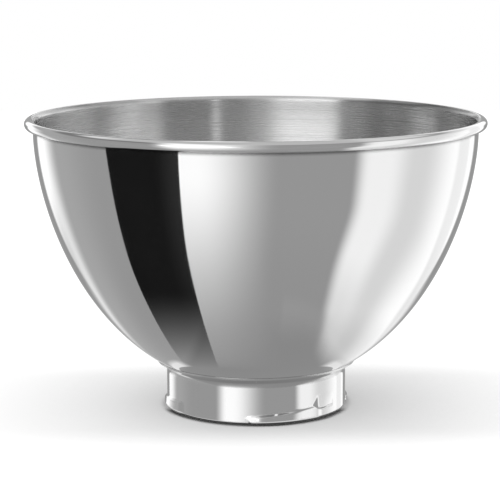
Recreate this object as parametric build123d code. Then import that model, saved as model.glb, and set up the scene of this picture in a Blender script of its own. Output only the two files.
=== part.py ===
"""Stand mixer bowl: a deep drawn steel bowl on a pressed bayonet foot.

The origin is on the bowl's axis, in the plane that the foot rests on, with +Z up.
Angles are read about +Z from the front of the bowl, which faces -Y. Sizes are in mm.
"""

from build123d import *
import math
import os

# Bowl shell, one deep drawn sheet
rim_diameter = 228.0      # over the rolled rim
bowl_height = 145.7       # from the table to the top of the rim
table_gap = 11.5          # under the lowest part of the bowl, before its dimple
shell_sheet = 0.8         # thickness of the steel
curl_diameter = 5.0       # outside of the rolled rim
curl_sweep = 300.0        # how far the rim is rolled round, in degrees
collar_straight = 4.7     # upright wall from the bowl's curve to the middle of the curl
side_fullness = 2.273     # how square the curve is where it meets the side
base_fullness = 1.713     # how square the curve is where it meets the bottom
dimple_diameter = 52.0    # raised middle of the bottom, under the beater
dimple_height = 5.0

# Foot collar, one pressed sheet welded under the bowl
foot_diameter = 90.4      # outside of the upright wall
foot_sheet = 1.0
flange_width = 5.6        # flange outside the wall, against the underside of the bowl
flange_bend = 2.5         # outside radius of the bend under the flange
foot_edge_radius = 1.3    # outside radius of the bend at the table
foot_land = 3.0           # width of the turned-in edge, from the outside of the wall

# Bayonet ramps, pressed out of the foot's wall
ramp_count = 4
ramp_start = -7.5         # angle of the first ramp's low end, from the front
ramp_sweep = 46.0
ramp_low = 2.9            # height of the shoulder at the low end
ramp_high = 5.8           # height of the shoulder at the high end
ramp_reach = 1.8          # how far the ramps stand out of the wall
ramp_round = 1.1          # radius of the ramp's outer edges

# Stops, pressed out beyond every second ramp
stop_count = 2
stop_start = 40.0         # angle where the first stop leaves the wall, from the front
stop_rise = 2.5           # its steep end reaches full width over this angle
stop_sweep = 17.0         # and it sinks back into the wall over this one
stop_height = 11.9        # where its upper slope meets the wall
stop_knee = 6.2           # where that slope begins
stop_reach = 1.8
stop_round = 1.1

# How the forms are drawn
curve_points = 14         # points of the bowl's curve between the rim and the dimple
dimple_points = 6
seat_cut = 0.4            # how far the flange is drawn into the bowl before it is cut
stop_overrun = 1.3        # how far the stop's face runs on into the wall, from its length

# Sizes that follow
curl_radius = curl_diameter / 2
curl_centre_radius = rim_diameter / 2 - curl_radius
curl_centre_height = bowl_height - curl_radius
curl_bore = curl_radius - shell_sheet
side_radius = curl_centre_radius - curl_bore
side_height = curl_centre_height - collar_straight
curve_depth = side_height - table_gap
dimple_radius = dimple_diameter / 2
foot_radius = foot_diameter / 2
foot_bore_radius = foot_radius - foot_sheet
land_radius = foot_radius - foot_land
flange_radius = foot_radius + flange_width
press_root = (foot_bore_radius + land_radius) / 2


def curve_height(radius):
    """Height of the bowl's outer skin at a radius, before the dimple."""
    across = (radius / side_radius) ** side_fullness
    return side_height - curve_depth * (1 - across) ** (1 / base_fullness)


def dimple_rise(radius):
    """How much the dimple lifts the bottom at a radius."""
    if radius >= dimple_radius:
        return 0.0
    return dimple_height * (1 - (radius / dimple_radius) ** 2) ** 2


def side_point(turn):
    """Point of the bowl's curve: turn is 0 at the upright wall and a right angle at the axis."""
    radius = side_radius * math.cos(turn) ** (2 / side_fullness)
    height = side_height - curve_depth * math.sin(turn) ** (2 / base_fullness)
    return radius, height


def skin_curve():
    """The bowl's outer skin in section, from the upright wall down to the axis."""
    last_turn = math.acos((dimple_radius / side_radius) ** (side_fullness / 2))
    points = [side_point(last_turn * i / curve_points) for i in range(curve_points)]
    for i in range(dimple_points + 1):
        radius = dimple_radius * (1 - i / dimple_points)
        points.append((radius, curve_height(radius) + dimple_rise(radius)))
    return Spline(points, tangents=[(0, -1), (-1, 0)])


def inner_curve(skin):
    """The same curve set in by the thickness of the sheet."""
    steps = curve_points + dimple_points
    points = []
    for i in range(steps + 1):
        along = skin % (i / steps)
        into_bowl = Vector(along.Y, -along.X)
        points.append(skin @ (i / steps) + shell_sheet * into_bowl)
    return Spline(points, tangents=[(0, -1), (-1, 0)])


def turned(outline):
    """Solid of revolution about +Z from the edges of a closed section."""
    return revolve(Plane.XZ * make_face(outline), Axis.Z, 360)


def bowl_shell():
    skin = skin_curve()
    inside = inner_curve(skin)
    centre = (curl_centre_radius, curl_centre_height)
    curl_out = CenterArc(centre, curl_radius, 180, -curl_sweep)
    curl_in = CenterArc(centre, curl_bore, 180, -curl_sweep)
    outline = [
        skin,
        Line(skin @ 1, inside @ 1),
        inside,
        Line(inside @ 0, curl_out @ 0),
        curl_out,
        Line(curl_out @ 1, curl_in @ 1),
        curl_in,
        Line(curl_in @ 0, skin @ 0),
    ]
    return turned(outline)


def under_bowl():
    """Everything that the bowl's outer skin encloses, up to the upright wall."""
    skin = skin_curve()
    top_middle = (0, side_height)
    return turned([skin, Line(skin @ 1, top_middle), Line(top_middle, skin @ 0)])


def plain_foot():
    """The foot before its ramps: flange, wall and turned-in edge in one section.

    The flange is drawn into the bowl a little, and the bowl's skin then cuts its seat.
    """
    slope = (curve_height(flange_radius) - curve_height(foot_radius)) / flange_width
    sheet_drop = foot_sheet * math.hypot(1, slope)
    under_flange = curve_height(foot_radius) - sheet_drop
    over_flange = curve_height(foot_radius) + seat_cut

    outside = FilletPolyline(
        (land_radius, 0),
        (foot_radius, 0),
        (foot_radius, under_flange),
        (flange_radius, under_flange + slope * flange_width),
        radius=[foot_edge_radius, flange_bend],
    )
    inside = FilletPolyline(
        (land_radius, foot_sheet),
        (foot_bore_radius, foot_sheet),
        (foot_bore_radius, over_flange - slope * foot_sheet),
        (flange_radius, over_flange + slope * flange_width),
        radius=[foot_edge_radius - foot_sheet, flange_bend + foot_sheet],
    )
    outline = [
        outside,
        Line(outside @ 1, inside @ 1),
        inside,
        Line(inside @ 0, outside @ 0),
    ]
    return turned(outline) - under_bowl()


def at_angle(radius, angle, height=0.0):
    """Point at an angle from the front of the bowl."""
    turn = math.radians(angle)
    return Vector(radius * math.sin(turn), -radius * math.cos(turn), height)


def stands_out(edge):
    """Whether the middle of an edge is outside the foot's wall."""
    middle = edge.position_at(0.5)
    return math.hypot(middle.X, middle.Y) > foot_radius


def round_outer_edges(form, radius):
    """Round the edges that stand out of the foot's wall."""
    return fillet(form.edges().filter_by(stands_out), radius)


def ramp_form(start, sweep, inset):
    """A ramp's outside, or the hollow behind it, which is set in by the sheet."""
    reach = foot_radius + ramp_reach - inset
    end_inset = math.degrees(inset / reach)
    start = start + end_inset
    sweep = sweep - 2 * end_inset

    section_plane = Plane(origin=(0, 0, 0), x_dir=(0, -1, 0), z_dir=(-1, 0, 0))
    height = ramp_high + ramp_reach
    section = Pos(press_root, inset) * Rectangle(
        reach - press_root, height - inset, align=(Align.MIN, Align.MIN)
    )
    ring = Rot(0, 0, start) * revolve(section_plane * section, Axis.Z, sweep)

    middle = start + sweep / 2
    chord = 2 * foot_radius * math.sin(math.radians(sweep / 2))
    along = at_angle(1, middle + 90)
    normal = Vector(0, 0, 1) - along * ((ramp_high - ramp_low) / chord)
    shoulder = at_angle(foot_radius, middle, (ramp_low + ramp_high) / 2 - inset)
    return split(ring, bisect_by=Plane(origin=shoulder, z_dir=normal), keep=Keep.BOTTOM)


def stop_form(start, inset):
    """A stop's outside or its hollow: a wedge, steep at one end, that sinks into the wall.

    Above its knee the wedge slopes back to the wall too.
    """
    start = start + math.degrees(inset / foot_radius)
    root = at_angle(press_root, start - stop_rise)
    steep = at_angle(foot_radius + stop_reach - inset, start + stop_rise)
    sunk = at_angle(foot_radius - inset, start + stop_rise + stop_sweep)
    beyond = steep + (sunk - steep) * stop_overrun
    behind = at_angle(press_root, start + stop_rise + stop_sweep * stop_overrun)
    outline = Polyline(root, steep, beyond, behind, close=True)
    wedge = Pos(0, 0, inset) * extrude(make_face(outline), stop_height)

    outward = Vector(sunk.Y - steep.Y, steep.X - sunk.X, 0).normalized()
    normal = outward * (stop_height - stop_knee) + Vector(0, 0, stop_reach)
    knee = steep + Vector(0, 0, stop_knee - inset / 2)
    return split(wedge, bisect_by=Plane(origin=knee, z_dir=normal), keep=Keep.BOTTOM)


def foot_collar():
    foot = plain_foot()
    bore = Pos(0, 0, foot_sheet) * Cylinder(
        foot_radius - foot_sheet / 2, bowl_height, align=(Align.CENTER, Align.CENTER, Align.MIN)
    )
    ramps = [(ramp_start + i * 360 / ramp_count, ramp_sweep) for i in range(ramp_count)]
    stops = [stop_start + i * 360 / stop_count for i in range(stop_count)]
    for start, sweep in ramps:
        foot += round_outer_edges(ramp_form(start, sweep, 0), ramp_round) - bore
    for start in stops:
        foot += round_outer_edges(stop_form(start, 0), stop_round) - bore
    for start, sweep in ramps:
        foot -= ramp_form(start, sweep, foot_sheet)
    for start in stops:
        foot -= stop_form(start, foot_sheet)
    return foot


os.makedirs("parts", exist_ok=True)
export_step(bowl_shell(), "parts/bowl_shell.step")
export_step(foot_collar(), "parts/foot_collar.step")
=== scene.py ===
"""Stand mixer bowl: polished steel bowl on a pressed bayonet foot, on a white studio floor.

Lengths are worked out in millimetres, as in the part's source, and go to Blender in metres.
Angles are read about +Z from the front of the bowl, which faces -Y.
"""

import math

import bpy
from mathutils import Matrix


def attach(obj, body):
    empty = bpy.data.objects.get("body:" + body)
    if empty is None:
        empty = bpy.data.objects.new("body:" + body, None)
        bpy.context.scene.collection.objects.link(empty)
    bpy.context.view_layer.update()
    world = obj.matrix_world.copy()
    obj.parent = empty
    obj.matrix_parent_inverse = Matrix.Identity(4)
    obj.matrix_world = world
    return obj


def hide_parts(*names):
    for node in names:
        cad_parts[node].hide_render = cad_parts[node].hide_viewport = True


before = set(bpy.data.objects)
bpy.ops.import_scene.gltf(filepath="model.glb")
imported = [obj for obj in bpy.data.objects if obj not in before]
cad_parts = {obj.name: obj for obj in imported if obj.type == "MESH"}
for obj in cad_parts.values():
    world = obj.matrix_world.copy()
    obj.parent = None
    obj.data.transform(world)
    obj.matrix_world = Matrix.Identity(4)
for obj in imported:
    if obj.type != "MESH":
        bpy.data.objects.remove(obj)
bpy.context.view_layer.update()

MM = 0.001

# Bowl shell, as in the part's source
rim_diameter = 228.0
bowl_height = 145.7
table_gap = 11.5
shell_sheet = 0.8
curl_diameter = 5.0
curl_sweep = 300.0
collar_straight = 4.7
side_fullness = 2.273
base_fullness = 1.713
dimple_diameter = 52.0
dimple_height = 5.0

# Foot collar, as in the part's source
foot_diameter = 90.4
foot_sheet = 1.0
flange_width = 5.6
flange_bend = 2.5
foot_edge_radius = 1.3
foot_land = 3.0

# The flange's edge and the rim's finish, as they look in the photo
flange_ease = 4.2         # outside radius of the bend under the flange
flange_slant = 0.8        # how far the flange's cut edge slants in under the bowl
flange_edge_radius = 0.25
flange_top_radius = 0.1   # the same where that edge meets the bowl
flange_gap = 0.2          # how far the flange's edge stands off the bowl
flange_back = 1.0         # how far in from its edge the flange is this close to the bowl
flange_seat_gap = 0.05
land_edge_radius = 0.2
satin_crest = 105.0       # how far the satin finish runs up the inside of the rim, in degrees

# Ramps and stops, pressed out of the foot's wall
ramp_count = 4
ramp_start = -7.5
ramp_sweep = 46.0
ramp_low = 2.9
ramp_high = 5.8
ramp_reach = 1.6
ramp_lean = 0.25          # the part of its reach that a ramp gains below its shoulder
ramp_at_table = 0.6       # the share of its reach that it has at the table
ramp_full_from = 2.0      # height where it has all of it
ramp_fall_from = 13.5     # how far on a ramp's face begins to sink towards the wall
ramp_fall_to = 29.0
ramp_fall = 0.33          # the part of its reach that it loses there
ramp_shoulder = 1.6       # height of the rolled shoulder over a ramp
ramp_tip_height = 3.3     # where the tip of a ramp's low end leaves the wall
ramp_tip_length = 4.2     # how far on the ramp comes down to the table
ramp_tip_rise = 8.5       # how far on it has its full reach
ramp_tip_power = 0.8      # below 1 it gains that reach early
ramp_tip_edge = 0.4
ramp_end_width = 5.0      # length of the slope at the high end of a ramp
ramp_under_stop = 6.0     # how far a ramp runs on under a stop
stop_count = 2
stop_start = 42.0         # angle where a stop has its full reach
stop_rise = 5.5           # angle over which its steep end rises from the wall, at its foot
stop_top_rise = 0.25      # the share of that angle at its top
stop_sweep = 17.0
stop_height = 12.2
stop_knee = 6.2
stop_foot = 2.0           # height under its knee in which it runs into the ramp's face
stop_reach = 1.3
stop_tail = 0.25          # the last part of its length, over which it fades into the wall
press_clear = 0.5         # width of the land that no pressing moves

# Sizes that follow
curl_radius = curl_diameter / 2
curl_centre_radius = rim_diameter / 2 - curl_radius
curl_centre_height = bowl_height - curl_radius
curl_bore = curl_radius - shell_sheet
side_radius = curl_centre_radius - curl_bore
side_height = curl_centre_height - collar_straight
curve_depth = side_height - table_gap
dimple_radius = dimple_diameter / 2
foot_radius = foot_diameter / 2
foot_bore_radius = foot_radius - foot_sheet
land_radius = foot_radius - foot_land
flange_radius = foot_radius + flange_width

# How the meshes are drawn
tiny = 1e-6               # a shorter length counts as nothing
skin_steps = 90           # steps of the bowl's curve between the upright wall and the dimple
dimple_steps = 16
wall_step = 1.2           # longest step up the upright wall
crest_steps = 14          # steps of the rim's satin crest, and of the hollow under it
crest_hollow_steps = 8
rim_steps = 48            # the same for the rest of the rim
rim_hollow_steps = 20
body_segments = 360       # steps round the bowl and its rim
foot_step = 0.25          # longest step in the section of the foot, outside and inside
foot_inner_step = 0.7
coarse_every = 5          # over the stops only every fifth of those steps is kept
foot_bend_steps = 10      # steps of each bend, outside and inside
foot_inner_bend_steps = 6
foot_turn_step = 1.0      # degrees between the steps round the foot
foot_turn_fine = 0.4      # the same where a ramp or a stop begins or ends
fine_into_low_end = 14.0  # how far the fine steps reach into a ramp from its ends
fine_into_high_end = 7.0
fine_beyond_ramp = 1.0    # and out beyond them
fine_before_stop = 8.0
fine_after_stop = 20.0
sharp_angle = 50.0        # edges where the surface turns by more stay sharp


# Meshes

def smoothstep(low, high, value):
    share = min(1.0, max(0.0, (value - low) / (high - low)))
    return share * share * (3 - 2 * share)


def curve_height(radius):
    """Height of the bowl's outer skin at a radius, before the dimple."""
    across = (radius / side_radius) ** side_fullness
    return side_height - curve_depth * (1 - across) ** (1 / base_fullness)


def dimple_rise(radius):
    if radius >= dimple_radius:
        return 0.0
    return dimple_height * (1 - (radius / dimple_radius) ** 2) ** 2


def side_point(turn):
    radius = side_radius * math.cos(turn) ** (2 / side_fullness)
    height = side_height - curve_depth * math.sin(turn) ** (2 / base_fullness)
    return radius, height


def arc_points(centre, radius, start, sweep, steps):
    """Points of an arc in the section, with angles in degrees from the outward direction."""
    points = []
    for i in range(steps + 1):
        angle = math.radians(start + sweep * i / steps)
        points.append((centre[0] + radius * math.cos(angle), centre[1] + radius * math.sin(angle)))
    return points


def outer_skin(steps_side, steps_dimple):
    """The bowl's outer skin in section, from the upright wall down to the axis."""
    last_turn = math.acos((dimple_radius / side_radius) ** (side_fullness / 2))
    points = [side_point(last_turn * i / steps_side) for i in range(steps_side)]
    for i in range(steps_dimple + 1):
        radius = dimple_radius * (1 - i / steps_dimple)
        points.append((radius, curve_height(radius) + dimple_rise(radius)))
    return points


def set_in(points, distance):
    """The same curve, moved into the bowl by a distance along its normals."""
    moved = []
    last = len(points) - 1
    for i, (radius, height) in enumerate(points):
        before = points[max(0, i - 1)]
        after = points[min(last, i + 1)]
        run = after[0] - before[0]
        fall = after[1] - before[1]
        length = math.hypot(run, fall)
        moved.append((radius + distance * fall / length, height - distance * run / length))
    moved[0] = (points[0][0] - distance, points[0][1])
    moved[last] = (0.0, points[last][1] + distance)
    return moved


def rounded(corners, radii, steps):
    """A polyline with its inner corners rounded, each with its own radius."""
    points = [corners[0]]
    for i, radius in enumerate(radii):
        before, corner, after = corners[i:i + 3]
        into = (before[0] - corner[0], before[1] - corner[1])
        away = (after[0] - corner[0], after[1] - corner[1])
        into = tuple(c / math.hypot(*into) for c in into)
        away = tuple(c / math.hypot(*away) for c in away)
        half = math.acos(max(-1.0, min(1.0, into[0] * away[0] + into[1] * away[1]))) / 2
        reach = radius / math.tan(half)
        middle = (into[0] + away[0], into[1] + away[1])
        scale = radius / math.sin(half) / math.hypot(*middle)
        centre = (corner[0] + middle[0] * scale, corner[1] + middle[1] * scale)
        start = (corner[0] + into[0] * reach, corner[1] + into[1] * reach)
        end = (corner[0] + away[0] * reach, corner[1] + away[1] * reach)
        first = math.atan2(start[1] - centre[1], start[0] - centre[0])
        turn = math.atan2(end[1] - centre[1], end[0] - centre[0]) - first
        turn = (turn + math.pi) % (2 * math.pi) - math.pi
        points += arc_points(centre, radius, math.degrees(first), math.degrees(turn), steps)
    points.append(corners[-1])
    return points


def spaced(points, longest, coarse_above=math.inf):
    """The same line with its long runs divided, more coarsely above a height."""
    result = [points[0]]
    for before, after in zip(points, points[1:]):
        length = math.hypot(after[0] - before[0], after[1] - before[1])
        if length < tiny:
            continue
        count = max(1, math.ceil(length / longest))
        for i in range(1, count + 1):
            share = i / count
            point = tuple(b + (a - b) * share for b, a in zip(before, after))
            if point[1] < coarse_above or i % coarse_every == 0 or i == count:
                result.append(point)
    return result


def even_turn(segments):
    return [360 * i / segments for i in range(segments)]


def lathe(name, section, angles, closed, push=None):
    """Mesh turned about +Z, at a list of angles, from a section of (radius, height) points.

    push(radius, height, angle) gives how far a point moves outwards, for pressed forms.
    A point on the axis becomes one vertex.
    """
    vertices = []
    rows = []
    for radius, height in section:
        if radius < tiny:
            rows.append([len(vertices)] * len(angles))
            vertices.append((0.0, 0.0, height * MM))
            continue
        row = []
        for angle in angles:
            turn = math.radians(angle)
            out = radius + (push(radius, height, angle) if push else 0.0)
            row.append(len(vertices))
            vertices.append((out * math.sin(turn) * MM, -out * math.cos(turn) * MM, height * MM))
        rows.append(row)

    pairs = list(zip(rows, rows[1:]))
    if closed:
        pairs.append((rows[-1], rows[0]))
    faces = []
    for upper, lower in pairs:
        for i in range(len(angles)):
            after = (i + 1) % len(angles)
            corners = [upper[i], lower[i], lower[after], upper[after]]
            face = [c for k, c in enumerate(corners) if c != corners[k - 1]]
            if len(face) > 2:
                faces.append(face)
    mesh = bpy.data.meshes.new(name)
    mesh.from_pydata(vertices, [], faces)
    mesh.validate()
    mesh.shade_smooth()
    piece = bpy.data.objects.new(name, mesh)
    bpy.context.scene.collection.objects.link(piece)
    return piece


def body_section():
    """Closed section of the bowl up to the satin crest of its rim.

    The polished points come first. Their number is returned too.
    """
    skin = outer_skin(skin_steps, dimple_steps)
    inside = set_in(skin, shell_sheet)
    top_out = (side_radius, curl_centre_height)
    top_in = (side_radius - shell_sheet, curl_centre_height)
    wall_out = spaced([top_out, skin[0]], wall_step)[:-1]
    wall_in = spaced([inside[0], top_in], wall_step)[1:]
    polished = wall_out + skin
    centre = (curl_centre_radius, curl_centre_height)
    crest = arc_points(centre, curl_radius, 180, satin_crest - 180, crest_steps)[1:]
    hollow = arc_points(centre, curl_bore, satin_crest, 180 - satin_crest, crest_hollow_steps)[:-1]
    return polished + inside[::-1] + wall_in + crest + hollow, len(polished)


def rim_section():
    """Closed section of the rolled rim, from where the satin finish ends to its tucked-in edge."""
    centre = (curl_centre_radius, curl_centre_height)
    sweep = satin_crest - (180 - curl_sweep)
    polished = arc_points(centre, curl_radius, satin_crest, -sweep, rim_steps)
    hollow = arc_points(centre, curl_bore, 180 - curl_sweep, sweep, rim_hollow_steps)
    return polished + hollow


def foot_section():
    """Closed section of the foot: flange, wall and turned-in edge."""
    slope = (curve_height(flange_radius) - curve_height(foot_radius)) / flange_width
    sheet_drop = foot_sheet * math.hypot(1, slope)
    under_flange = curve_height(foot_radius) - sheet_drop
    seat = curve_height(foot_radius)
    back = flange_radius - flange_back
    meets_bowl = (back, curve_height(back) - flange_seat_gap)
    outside = rounded(
        [
            (land_radius, foot_sheet / 2),
            (land_radius, 0),
            (foot_radius, 0),
            (foot_radius, under_flange),
            (flange_radius - flange_slant, under_flange + slope * (flange_width - flange_slant)),
            (flange_radius, curve_height(flange_radius) - flange_gap),
            meets_bowl,
        ],
        [land_edge_radius, foot_edge_radius, flange_ease, flange_edge_radius, flange_top_radius],
        foot_bend_steps,
    )
    inside = rounded(
        [
            (land_radius, foot_sheet / 2),
            (land_radius, foot_sheet),
            (foot_bore_radius, foot_sheet),
            (foot_bore_radius, seat - slope * foot_sheet),
            meets_bowl,
        ],
        [land_edge_radius, foot_edge_radius - foot_sheet, flange_bend + foot_sheet],
        foot_inner_bend_steps,
    )
    outside = spaced(outside, foot_step, stop_height)
    inside = [(r, min(h, curve_height(r))) for r, h in spaced(inside, foot_inner_step, stop_height)]
    return outside + inside[::-1][1:-1]


def turn_between(angle, start):
    """Angle past a start, from -180 to 180."""
    return (angle - start + 180) % 360 - 180


def ramp_face(height, shoulder):
    """How far a ramp's face stands out at a height up to its shoulder."""
    at_table = ramp_at_table + (1 - ramp_at_table) * smoothstep(0, ramp_full_from, height)
    return ramp_reach * (1 - ramp_lean * min(1.0, height / shoulder)) * at_table


def ramp_push(height, angle, start, under_stop):
    """How far a ramp stands out at a place on the wall.

    Its low end is a tongue's tip, clear of the table. Its high end sinks into the wall or
    runs under a stop. Its face leans out a little below the shoulder.
    """
    along = math.radians(turn_between(angle, start)) * foot_radius
    length = math.radians(ramp_sweep) * foot_radius
    to_end = length + (ramp_under_stop if under_stop else 0) - along
    if along < 0 or to_end < 0:
        return 0.0
    shoulder = ramp_low + (ramp_high - ramp_low) * min(1.0, along / length)
    step = min(1.0, max(0.0, (shoulder + ramp_shoulder - height) / ramp_shoulder))
    step = (step + smoothstep(0, 1, step)) / 2
    tip = ramp_tip_height * (1 - along / ramp_tip_length)
    clear = smoothstep(-ramp_tip_edge, ramp_tip_edge, height - tip)
    rise = smoothstep(0, ramp_tip_rise, along) ** ramp_tip_power
    ends = rise * smoothstep(0, ramp_end_width, to_end)
    sunk = 1 - ramp_fall * smoothstep(ramp_fall_from, ramp_fall_to, along)
    return ramp_face(height, shoulder) * step * clear * ends * sunk


def stop_push(height, angle, start):
    """How far a stop stands out at a place on the wall: steep at one end, sinking at the other."""
    along = turn_between(angle, start)
    width = stop_rise * (stop_top_rise + (1 - stop_top_rise) * smoothstep(stop_height, stop_knee, height))
    rise = smoothstep(-width, 0, along)
    fall = min(1.0, 1 - along / stop_sweep)
    upper = min(1.0, (stop_height - height) / (stop_height - stop_knee))
    if fall < 0 or upper < 0:
        return 0.0
    lower = smoothstep(stop_knee - stop_foot, stop_knee, height)
    return rise * fall * smoothstep(0, stop_tail, fall) * stop_reach * upper * lower


def press(radius, height, angle):
    """How far the sheet of the foot is pressed out at a place, in millimetres."""
    if height > stop_height:
        return 0.0
    reach = 0.0
    for i in range(ramp_count):
        under_stop = i * stop_count % ramp_count == 0
        reach = max(reach, ramp_push(height, angle, ramp_start + i * 360 / ramp_count, under_stop))
    for i in range(stop_count):
        reach = max(reach, stop_push(height, angle, stop_start + i * 360 / stop_count))
    return reach * smoothstep(land_radius + press_clear, foot_radius - foot_edge_radius, radius)


def foot_turn():
    """Angles round the foot, close together where a ramp or a stop begins or ends."""
    angles = []
    angle = 0.0
    while angle < 360:
        angles.append(angle)
        near = False
        for i in range(ramp_count):
            past = turn_between(angle, ramp_start + i * 360 / ramp_count)
            near = near or -fine_beyond_ramp <= past < fine_into_low_end
            near = near or ramp_sweep - fine_into_high_end <= past < ramp_sweep + fine_beyond_ramp
        for i in range(stop_count):
            past = turn_between(angle, stop_start + i * 360 / stop_count)
            near = near or -fine_before_stop <= past < fine_after_stop
        angle += foot_turn_fine if near else foot_turn_step
    return angles


# Nodes

def node(tree, kind, **values):
    """A node with its properties set."""
    made = tree.nodes.new(kind)
    for name, value in values.items():
        setattr(made, name, value)
    return made


def compute(tree, operation, *terms):
    """Socket of a Math node: each term is a number or a socket."""
    made = node(tree, "ShaderNodeMath", operation=operation)
    for i, term in enumerate(terms):
        if isinstance(term, (int, float)):
            made.inputs[i].default_value = term
        else:
            tree.links.new(term, made.inputs[i])
    return made.outputs[0]


def smooth_range(tree, value, low, high, to_low=0.0, to_high=1.0):
    """Socket that goes smoothly from one value to another as the input passes a range."""
    made = node(tree, "ShaderNodeMapRange", interpolation_type="SMOOTHSTEP")
    tree.links.new(value, made.inputs["Value"])
    made.inputs["From Min"].default_value = low
    made.inputs["From Max"].default_value = high
    made.inputs["To Min"].default_value = to_low
    made.inputs["To Max"].default_value = to_high
    return made.outputs["Result"]


def band(tree, value, low, high, low_soft, high_soft):
    """Socket that is 1 between two edges, with a softness of its own at each."""
    rise = smooth_range(tree, value, low - low_soft / 2, low + low_soft / 2)
    fall = smooth_range(tree, value, high - high_soft / 2, high + high_soft / 2, 1, 0)
    return compute(tree, "MULTIPLY", rise, fall)


def over(tree, level, brightness, cover):
    """Socket of a brightness laid over a level; each is a number or a socket."""
    change = compute(tree, "SUBTRACT", brightness, level)
    return compute(tree, "ADD", level, compute(tree, "MULTIPLY", change, cover))


def separate(tree, vector):
    """Sockets of a vector's x, y and z."""
    split = node(tree, "ShaderNodeSeparateXYZ")
    tree.links.new(vector, split.inputs["Vector"])
    return split.outputs


def openness(tree, reach, samples):
    """Socket of how much of the view is open within a reach in millimetres."""
    around = node(tree, "ShaderNodeAmbientOcclusion", samples=samples)
    around.inputs["Distance"].default_value = reach * MM
    return around.outputs["AO"]


def noise(tree, place, scale, detail):
    """Socket of a soft random pattern over a place."""
    pattern = node(tree, "ShaderNodeTexNoise")
    pattern.inputs["Scale"].default_value = scale
    pattern.inputs["Detail"].default_value = detail
    tree.links.new(place, pattern.inputs["Vector"])
    return pattern.outputs["Fac"]


def glow(tree, strength):
    """Shader that gives off white light."""
    made = node(tree, "ShaderNodeEmission")
    tree.links.new(strength, made.inputs["Strength"])
    return made.outputs[0]


def transparent(tree):
    """Shader that light passes through."""
    return node(tree, "ShaderNodeBsdfTransparent").outputs[0]


def added(tree, one, other):
    """Shader that shows two others together."""
    made = node(tree, "ShaderNodeAddShader")
    tree.links.new(one, made.inputs[0])
    tree.links.new(other, made.inputs[1])
    return made.outputs[0]


def mixed(tree, share, under, top):
    """Shader that shows a share of one laid over another."""
    made = node(tree, "ShaderNodeMixShader")
    tree.links.new(share, made.inputs[0])
    tree.links.new(under, made.inputs[1])
    tree.links.new(top, made.inputs[2])
    return made.outputs[0]


# Steel
steel_share = 0.76        # how much of the light that polished steel reflects
satin_share = 0.74
# Painted shade in creases: the steel's colour is darkened where other steel is near
crease_shade_reach = 2.5        # how far off other steel still casts painted shade into a crease
crease_shade_share = 0.1        # the colour that the painted shade leaves in a crease, as a share of the steel's
crease_shade_low = 30.0         # heights between which the painted crease shade grows to full strength
crease_shade_high = 60.0
shade_low = 21.0          # heights between which the foot's colour is painted darker, as shade under its flange
shade_high = 23.3
shade_low_soft = 1.8
shade_high_soft = 0.4
pattern_low = 0.3         # the part of a random pattern's range that counts
pattern_high = 0.7
haze_least = 0.8          # a mirror's haze varies between these shares of its roughness
haze_most = 1.3
satin_least = 0.19        # roughness of the satin finish, between its streaks and in them
satin_most = 0.3
satin_depth = 0.02


def steel(name):
    """A plain steel material, with its tree, its shader and the place on the object."""
    material = bpy.data.materials.new(name)
    material.use_nodes = True
    tree = material.node_tree
    shader = tree.nodes["Principled BSDF"]
    shader.inputs["Metallic"].default_value = 1.0
    place = node(tree, "ShaderNodeTexCoord").outputs["Object"]
    return material, tree, shader, place


def set_roughness(tree, shader, pattern, least, most):
    """Let a pattern vary the roughness."""
    spread = smooth_range(tree, pattern, pattern_low, pattern_high, least, most)
    tree.links.new(spread, shader.inputs["Roughness"])


def set_bump(tree, shader, pattern, strength, depth):
    """Let a pattern tilt the surface, as relief of a depth in millimetres would."""
    bump = node(tree, "ShaderNodeBump")
    bump.inputs["Strength"].default_value = strength
    bump.inputs["Distance"].default_value = depth * MM
    tree.links.new(pattern, bump.inputs["Height"])
    tree.links.new(bump.outputs["Normal"], shader.inputs["Normal"])


def polished_steel(name, roughness, waviness, crease_shade_black, crease_shade_clear, low_crease_shade, shade=0.0):
    """Steel with a mirror polish, which drawing has left very slightly wavy, and with painted shade in
    its creases.

    Painted shade makes a crease black where only the share crease_shade_black around it is open.
    low_crease_shade is how strong that painted shade is near the table, and shade how much darker the
    steel is painted under the flange.
    """
    material, tree, shader, place = steel(name)
    height = separate(tree, place)[2]
    # Painted shade: the colour darkens in creases by how little is open around them, less near the table
    crease = openness(tree, crease_shade_reach, samples=12)
    darkest = steel_share * crease_shade_share
    share = smooth_range(tree, crease, crease_shade_black, crease_shade_clear, darkest, steel_share)
    depth = smooth_range(tree, height, crease_shade_low * MM, crease_shade_high * MM, low_crease_shade, 1)
    share = over(tree, steel_share, share, depth)
    # Painted shade: the colour is darker in a band of height under the flange
    under = band(
        tree, height, shade_low * MM, shade_high * MM, shade_low_soft * MM, shade_high_soft * MM
    )
    under = over(tree, 1.0, 1 - shade, under)
    tree.links.new(compute(tree, "MULTIPLY", share, under), shader.inputs["Base Color"])
    haze = noise(tree, place, scale=60, detail=5)
    set_roughness(tree, shader, haze, roughness * haze_least, roughness * haze_most)
    waves = noise(tree, place, scale=28, detail=2)
    set_bump(tree, shader, waves, strength=1.0, depth=waviness)
    return material


def satin_steel(name):
    """Steel with a fine turned finish: streaks that run round the bowl."""
    material, tree, shader, place = steel(name)
    shader.inputs["Base Color"].default_value = (satin_share, satin_share, satin_share, 1)
    shader.inputs["Anisotropic"].default_value = 1.0
    shader.inputs["Anisotropic Rotation"].default_value = 0.25
    stretch = node(tree, "ShaderNodeMapping")
    stretch.inputs["Scale"].default_value = (20, 20, 3500)
    tree.links.new(place, stretch.inputs["Vector"])
    streak = noise(tree, stretch.outputs["Vector"], scale=1, detail=3)
    set_roughness(tree, shader, streak, satin_least, satin_most)
    set_bump(tree, shader, streak, strength=0.35, depth=satin_depth)
    tangent = node(tree, "ShaderNodeTangent", direction_type="RADIAL", axis="Z")
    tree.links.new(tangent.outputs["Tangent"], shader.inputs["Tangent"])
    return material


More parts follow.
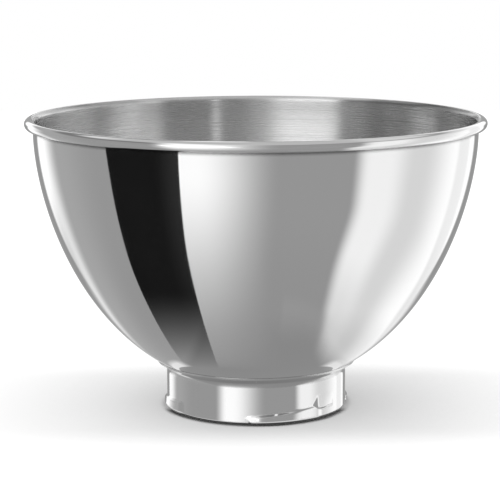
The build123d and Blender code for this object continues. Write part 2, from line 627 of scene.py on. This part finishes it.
# The studio around the bowl: cards as seen from it, with soft edges and linear brightness.
# Across is half the compass angle from the camera's side, in degrees, positive towards +X.
# Up is the height on a sphere of radius 1.
# A brightness is what the polished steel shows of it.
room_gray = 0.296
studio_cards = [
    # left, right, softness of each; bottom, top, softness of each; brightness
    ("gap under the ceiling", -100, 100, 1, 1, 0.45, 0.72, 0.15, 0.1, 0.27),
    ("gap at the left", -100, -22, 1, 8, 0.45, 0.72, 0.15, 0.1, 0.18),
    ("ceiling", -100, 100, 1, 1, 0.72, 2, 0.1, 1, 0.47),
    ("left ceiling light", -100, -38, 1, 14, 0.66, 2, 0.12, 1, 0.72),
    ("right ceiling light", 28, 100, 8, 1, 0.66, 2, 0.12, 1, 0.62),
    ("light behind at the left", -100, -77, 1, 8, 0.3, 0.92, 0.15, 0.1, 0.85),
    ("light behind at the right", 77, 100, 8, 1, 0.3, 0.92, 0.15, 0.1, 0.85),
    ("floor of the room", -100, 100, 1, 1, -2, -0.75, 1, 0.5, 0.278),
    ("left wash", -80, -52.5, 1, 18, -2, 0.5, 1, 0.1, 0.36),
    ("left edge light", -80, -67, 1, 10, -0.57, 0.27, 0.2, 0.1, 1.0),
    ("foot of the left edge light", -80, -69, 1, 8, -0.8, -0.3, 0.3, 0.2, 0.54),
    ("left softbox", -22.7, -4.3, 8, 21.5, -0.74, 0.8, 0.9, 0.15, 0.98),
    ("softbox over the horizon", -22.7, -6, 4, 8, -0.075, 0.26, 0.01, 0.3, 1.6),
    ("right panel", 27.6, 80, 5.8, 1, -1.06, 0.55, 0.3, 0.15, 0.655),
    ("right key light", 27.6, 40, 5.8, 9, -0.8, 0.5, 0.3, 0.15, 0.87),
    ("right edge light", 55, 80, 15.5, 1, -0.87, 0.4, 0.3, 0.15, 0.97),
    ("gap in the edge light", 63.8, 71.3, 2.5, 3, -0.98, 0.4, 0.3, 0.15, 0.82),
    ("foot of the edge light", 63.8, 80, 2.5, 1, -2, -0.5, 1, 0.35, 0.66),
    ("foot of the right panel", 10, 30, 1, 10, -2, -0.9, 1, 0.06, room_gray),
]
back_gray = 0.262
back_bright = 0.6         # straight behind
back_from = 150.5         # compass angle where the back of the room begins
back_soft = 2.3           # how far that edge fades to each side
back_bright_from = 163.0  # compass angle from where the back grows brighter
back_bottom = -0.41
back_top = 0.05
back_bottom_soft = 0.12
back_top_soft = 0.1

# How the cards' edges close in towards the floor
left_lean = 0.0041        # for each degree across beyond the next value
left_lean_from = 15.0
left_lean_low = 0.6       # what is added below the next depth, by its square
left_turn_low = 0.017     # and for each degree across
left_low_from = 0.6
right_lean = 0.075
right_lean_low = 0.15     # what is added between the next two depths
right_low_from = 0.45
right_low_to = 0.85
right_lean_from = 27.0
right_lean_double = 38.0  # degrees across over which the right lean grows to double


def card_lean(tree, across, below):
    """Socket of how far the cards' edges have closed in at a depth below the horizon."""
    turn = compute(tree, "SUBTRACT", compute(tree, "ABSOLUTE", across), left_lean_from)
    turn = compute(tree, "MAXIMUM", turn, 0.0)
    left = compute(tree, "MULTIPLY", compute(tree, "MULTIPLY", turn, left_lean), below)
    deep = compute(tree, "MAXIMUM", compute(tree, "SUBTRACT", below, left_low_from), 0.0)
    deep = compute(tree, "POWER", deep, 2.0)
    growth = compute(tree, "ADD", compute(tree, "MULTIPLY", turn, left_turn_low), left_lean_low)
    left = compute(tree, "ADD", left, compute(tree, "MULTIPLY", deep, growth))

    right = compute(tree, "MULTIPLY", below, right_lean)
    low = smooth_range(tree, below, right_low_from, right_low_to, 0, right_lean_low)
    right = compute(tree, "ADD", right, low)
    spread = compute(tree, "SUBTRACT", across, right_lean_from)
    spread = compute(tree, "MAXIMUM", compute(tree, "DIVIDE", spread, right_lean_double), 0.0)
    right = compute(tree, "MULTIPLY", right, compute(tree, "ADD", 1.0, spread))
    return over(tree, left, right, compute(tree, "GREATER_THAN", across, 0.0))


def card_place(tree, direction):
    """Sockets of a direction's place among the cards, across and up."""
    x, y, z = separate(tree, direction)
    across = compute(tree, "ARCTAN2", x, compute(tree, "SUBTRACT", 1.0, y))
    across = compute(tree, "MULTIPLY", across, 180 / math.pi)
    below = compute(tree, "MAXIMUM", compute(tree, "MULTIPLY", z, -1.0), 0.0)
    lean = card_lean(tree, across, below)
    return compute(tree, "MULTIPLY", across, compute(tree, "ADD", 1.0, lean)), z


def turn_from_front(tree, direction):
    """Socket of the compass angle between a direction and the front, to either side."""
    x, y, z = separate(tree, direction)
    turn = compute(tree, "ARCTAN2", x, compute(tree, "MULTIPLY", y, -1.0))
    return compute(tree, "ABSOLUTE", compute(tree, "MULTIPLY", turn, 180 / math.pi))


def card_area(tree, place, left, right, left_soft, right_soft, bottom, top, bottom_soft, top_soft):
    """Socket that is 1 where a place is on a card and 0 beside it."""
    across, up = place
    wide = band(tree, across, left, right, left_soft, right_soft)
    high = band(tree, up, bottom, top, bottom_soft, top_soft)
    return compute(tree, "MULTIPLY", wide, high)


def studio_brightness(tree, direction):
    """Socket with the brightness of the studio in each direction."""
    place = card_place(tree, direction)
    level = room_gray
    for name, *edges, bright in studio_cards:
        level = over(tree, level, bright, card_area(tree, place, *edges))
    turn = turn_from_front(tree, direction)
    away = smooth_range(tree, turn, back_from - back_soft, back_from + back_soft)
    low = band(tree, place[1], back_bottom, back_top, back_bottom_soft, back_top_soft)
    back = smooth_range(tree, turn, back_bright_from, 180, back_gray, back_bright)
    level = over(tree, level, back, compute(tree, "MULTIPLY", away, low))
    return compute(tree, "DIVIDE", level, steel_share)


def build_world():
    world = bpy.data.worlds.new("studio")
    bpy.context.scene.world = world
    world.use_nodes = True
    tree = world.node_tree
    background = tree.nodes["Background"]
    path = node(tree, "ShaderNodeLightPath")
    place = node(tree, "ShaderNodeTexCoord")
    mix = node(tree, "ShaderNodeMix", data_type="FLOAT")
    tree.links.new(path.outputs["Is Camera Ray"], mix.inputs[0])
    tree.links.new(studio_brightness(tree, place.outputs["Generated"]), mix.inputs[2])
    mix.inputs[3].default_value = 1.0
    tree.links.new(mix.outputs[0], background.inputs["Color"])


# Two shells far outside the studio show only in some of the pieces. The first holds dark cards,
# which the bowl's own sheet reflects: a black one for its outside, low at the left, and gauzes
# for its inside, over the horizon. The second holds a narrow light for the bowl's inside.
dark_cards = [
    # left, right, softness of each; bottom, top, softness of both; the share of light they stop
    (-40.2, -19.2, 0.2, 0.2, -2, -0.088, 0.004, 0.973),
    (-100, -24.5, 1, 3, -0.082, 0.8, 0.004, 0.4),
    (-54, -30, 8, 10, -0.082, 2, 0.004, 0.6),
    (-4, 9.4, 8, 1, -0.082, 0.8, 0.004, 0.2),
    (12.2, 25.5, 1, 4, -0.082, 0.8, 0.004, 0.18),
    (27, 52, 5, 10, -0.082, 0.8, 0.004, 0.14),
    (30, 100, 10, 1, 0.2, 0.9, 0.1, 0.4),
]
# The light: left, right, softness of each; bottom, top, softness of each
strip_card = (9.8, 12.0, 1, 1, -0.075, 0.3, 0.01, 0.2)
strip_bright = 1.2
dark_card_distance = 6000.0
strip_distance = 5500.0
far_shell_top = 60.0      # degrees above the horizon
far_shell_steps = 45
far_shell_segments = 96


def bare_material(name):
    """A material with an empty tree, the tree, and the socket of its surface."""
    material = bpy.data.materials.new(name)
    material.use_nodes = True
    tree = material.node_tree
    tree.nodes.clear()
    return material, tree, node(tree, "ShaderNodeOutputMaterial").inputs["Surface"]


def far_material(name, shader):
    """Material of a far shell, from the function that makes its shader in a direction."""
    material, tree, surface = bare_material(name)
    place = node(tree, "ShaderNodeTexCoord")
    unit = node(tree, "ShaderNodeVectorMath", operation="NORMALIZE")
    tree.links.new(place.outputs["Object"], unit.inputs[0])
    tree.links.new(shader(tree, unit.outputs["Vector"]), surface)
    return material


def strip_shader(tree, direction):
    """A narrow light, clear beside it."""
    area = card_area(tree, card_place(tree, direction), *strip_card)
    return added(tree, transparent(tree), glow(tree, compute(tree, "MULTIPLY", area, strip_bright)))


def dark_card_shader(tree, direction):
    """Cards that stop a share of the light, and that look like the room to the lit pieces."""
    room = studio_brightness(tree, direction)
    place = card_place(tree, direction)
    cover = 0.0
    for *edges, soft, share in dark_cards:
        area = compute(tree, "MULTIPLY", card_area(tree, place, *edges, soft, soft), share)
        cover = compute(tree, "MAXIMUM", cover, area)
    return mixed(tree, cover, transparent(tree), glow(tree, room))


def build_far_shell(material, distance, receivers):
    """A far shell round the bowl, whose glow only some pieces receive."""
    section = arc_points((0, 0), distance, -90, 90 + far_shell_top, far_shell_steps)
    section[0] = (0.0, -distance)
    card = lathe(material.name, section, even_turn(far_shell_segments), False)
    card.data.materials.append(material)
    card.visible_camera = False
    card.visible_diffuse = False
    card.visible_shadow = False
    lit = bpy.data.collections.new("lit_by_" + material.name)
    for piece in receivers:
        lit.objects.link(piece)
    card.light_linking.receiver_collection = lit


# Floor
# The floor glows white for the camera, and the bowl's shadow and a contact shadow at the foot are painted
# into that glow
floor_radius = 1500.0
floor_drop = 0.05         # how far it is under the foot
floor_open = 0.85         # glow that the painted shadow takes away where the bowl closes off the sky over the floor
floor_shaded = 0.24       # glow that is left in the painted shadow
floor_color = 0.2         # the part of its colour that the room lights
shade_reach = 400.0       # how far the bowl shades the floor
shade_near = 48.0         # in front and behind, the shade fades to a share of itself between
shade_far = 100.0         # these distances
shade_end_share = 0.35
shade_right = 1.22        # at the right it deepens this much, between the next distances
shade_right_from = 10.0
shade_right_to = 90.0
contact_reach = 8.0       # a painted contact shadow makes the floor black along the foot's outline, where only this share
contact_black = 0.59      # is open within this reach, and white again at the next share
contact_clear = 0.79
contact_behind = 0.3      # how black the painted contact shadow is at the sides and behind
contact_front = 19.0      # it is full this far in front of the axis, and weakens up to the next
contact_side = 11.0

# What polished steel sees of the floor: painted gray shade near the foot, and the studio past it further
# out
near_foot = 45.0          # radius where the bowl reflects the floor's painted gray shade
clear_of_foot = 135.0     # radius where the bowl reflects the studio through the floor
near_power = 2.05         # how fast the gray weakens between them
near_shade_gray = 0.243
left_gray_lift = 0.08     # how much brighter that gray is beyond the next distances to the left
left_gray_from = 40.0
left_gray_to = 50.0
right_from = 20.0         # distance to the right where the next five values have taken over
right_gray_full = 38.0    # the gray weakens between these two distances from the axis
right_gray_weak = 60.0
right_weak_share = 0.25
right_clear_from = 70.0   # and is gone between these two radii
right_clear_to = 115.0
steep_gray = 0.5          # how flat the view is where the gray begins to fade, and is gone
steep_clear = 0.72
bright_from = 46.5        # a ring round the foot, glowing only for reflections, that paints a white highlight on its rounded lower edge
bright_to = 54.0
bright_from_soft = 1.0
bright_to_soft = 6.0
bright_ring = 0.7
bright_steep = 0.3        # how flat the view is where the ring begins to show, and ends
bright_flat = 0.68
bright_flat_soft = 0.1


def floor_shader(tree, x, y):
    """The floor as the camera sees it: white, with the bowl's shadow and a dark contact line at the foot
    painted into its glow.
    """
    diffuse = node(tree, "ShaderNodeBsdfDiffuse")
    diffuse.inputs["Color"].default_value = (floor_color, floor_color, floor_color, 1)
    # Painted shadow: the glow drops where the bowl closes off the sky over the floor, less in front and
    # behind, more at the right
    depth = compute(tree, "SUBTRACT", 1.0, openness(tree, shade_reach, samples=24))
    ends = compute(tree, "ABSOLUTE", y)
    ends = smooth_range(tree, ends, shade_near * MM, shade_far * MM, 1, shade_end_share)
    depth = compute(tree, "MULTIPLY", depth, ends)
    right = smooth_range(tree, x, shade_right_from * MM, shade_right_to * MM, 1, shade_right)
    depth = compute(tree, "MULTIPLY", depth, right)
    depth = compute(tree, "MULTIPLY", depth, floor_open)
    light = compute(tree, "SUBTRACT", floor_open + floor_shaded, depth)
    # Painted contact shadow: black along the foot's outline, strongest in front
    contact = openness(tree, contact_reach, samples=16)
    contact = smooth_range(tree, contact, contact_black, contact_clear)
    front = smooth_range(tree, y, -contact_front * MM, -contact_side * MM, 1, contact_behind)
    light = compute(tree, "MULTIPLY", light, over(tree, 1.0, contact, front))
    return added(tree, diffuse.outputs[0], glow(tree, light))


def reflected_floor_shader(tree, x, radius):
    """The floor as steel sees it: painted gray shade near the foot, with a bright ring for a painted
    highlight, and clear further out.
    """
    # Painted shade: the floor near the foot glows gray for the steel to reflect
    share = node(tree, "ShaderNodeMapRange", interpolation_type="LINEAR", clamp=True)
    tree.links.new(radius, share.inputs["Value"])
    share.inputs["From Min"].default_value = clear_of_foot * MM
    share.inputs["From Max"].default_value = near_foot * MM
    left = compute(tree, "POWER", share.outputs["Result"], near_power)
    right = smooth_range(tree, x, right_gray_full * MM, right_gray_weak * MM, 1, right_weak_share)
    fade = smooth_range(tree, radius, right_clear_from * MM, right_clear_to * MM, 1, 0)
    right = compute(tree, "MULTIPLY", right, fade)
    nearness = over(tree, left, right, smooth_range(tree, x, 0, right_from * MM))

    weight = node(tree, "ShaderNodeLayerWeight")
    weight.inputs["Blend"].default_value = 0.5
    facing = weight.outputs["Facing"]
    steep = smooth_range(tree, facing, steep_gray, steep_clear, 1, 0)
    # Painted highlight: a glowing ring that the foot's rounded lower edge reflects as white
    ring = band(
        tree, radius, bright_from * MM, bright_to * MM, bright_from_soft * MM, bright_to_soft * MM
    )
    seen = band(tree, facing, bright_steep, bright_flat, bright_flat_soft, bright_flat_soft)
    ring = compute(tree, "MULTIPLY", ring, seen)
    lift = left_gray_lift / steel_share
    lift = smooth_range(tree, x, -left_gray_to * MM, -left_gray_from * MM, lift, 0)
    gray = compute(tree, "ADD", lift, near_shade_gray / steel_share)
    level = over(tree, gray, bright_ring / steel_share, ring)
    cover = compute(tree, "MAXIMUM", compute(tree, "MULTIPLY", nearness, steep), ring)
    return mixed(tree, cover, transparent(tree), glow(tree, level))


def floor_material():
    """White floor: the camera sees it with the bowl's shadow painted into its glow, and steel sees
    painted shade near the foot and the studio past it.
    """
    material, tree, surface = bare_material("floor_white")
    path = node(tree, "ShaderNodeLightPath")
    place = node(tree, "ShaderNodeTexCoord").outputs["Object"]
    x, y, z = separate(tree, place)
    distance = node(tree, "ShaderNodeVectorMath", operation="LENGTH")
    tree.links.new(place, distance.inputs[0])
    seen = floor_shader(tree, x, y)
    reflected = reflected_floor_shader(tree, x, distance.outputs["Value"])
    tree.links.new(mixed(tree, path.outputs["Is Glossy Ray"], seen, reflected), surface)
    return material


def build_floor():
    mesh = bpy.data.meshes.new("floor")
    reach = floor_radius * MM
    mesh.from_pydata(
        [(-reach, -reach, 0), (reach, -reach, 0), (reach, reach, 0), (-reach, reach, 0)],
        [],
        [(0, 1, 2, 3)],
    )
    floor = bpy.data.objects.new("floor", mesh)
    floor.location.z = -floor_drop * MM
    floor.data.materials.append(floor_material())
    bpy.context.scene.collection.objects.link(floor)


# Camera, as it was fitted to the outline of the bowl
camera_place = (-2.95, -882.9, 234.6)
camera_pitch = 10.045
camera_roll = -0.12
focal_pixels = 1787.0
image_pixels = 500


def build_camera():
    camera = bpy.data.cameras.new("camera")
    camera.sensor_width = 36
    camera.lens = camera.sensor_width * focal_pixels / image_pixels
    camera.clip_start = 0.05
    holder = bpy.data.objects.new("camera", camera)
    holder.location = tuple(c * MM for c in camera_place)
    holder.rotation_mode = "ZXY"
    holder.rotation_euler = (math.radians(90 - camera_pitch), 0, math.radians(camera_roll))
    bpy.context.scene.collection.objects.link(holder)
    bpy.context.scene.camera = holder


# The object
mirror_steel = polished_steel(
    "steel_polished",
    roughness=0.035,
    waviness=0.02,
    crease_shade_black=0.56,
    crease_shade_clear=0.99,
    low_crease_shade=0.3,
)
turned_steel = satin_steel("steel_satin")
pressed_steel = polished_steel(
    "steel_pressed",
    roughness=0.06,
    waviness=0.02,
    crease_shade_black=0.46,
    crease_shade_clear=0.86,
    low_crease_shade=1.0,
    shade=0.36,
)
body_turn = even_turn(body_segments)

section, polished_points = body_section()
bowl = lathe("bowl", section, body_turn, True)
bowl.data.materials.append(mirror_steel)
bowl.data.materials.append(turned_steel)
for polygon in bowl.data.polygons:
    if polygon.index >= body_segments * polished_points:
        polygon.material_index = 1

rim = lathe("rim", rim_section(), body_turn, True)
rim.data.materials.append(mirror_steel)

collar = lathe("collar", foot_section(), foot_turn(), True, press)
collar.data.materials.append(pressed_steel)

for piece, cad_node, slot in (
    (bowl, "bowl_shell", "shell_steel"),
    (rim, "bowl_shell", "shell_steel"),
    (collar, "foot_collar", "foot_steel"),
):
    piece.data.set_sharp_from_angle(angle=math.radians(sharp_angle))
    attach(piece, "root")
    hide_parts(cad_node)

collar.visible_glossy = False
build_floor()
build_world()
build_far_shell(far_material("dark_card", dark_card_shader), dark_card_distance, [rim, collar])
build_far_shell(far_material("light_strip", strip_shader), strip_distance, [bowl])
build_camera()
bpy.context.scene.view_settings.view_transform = "Standard"
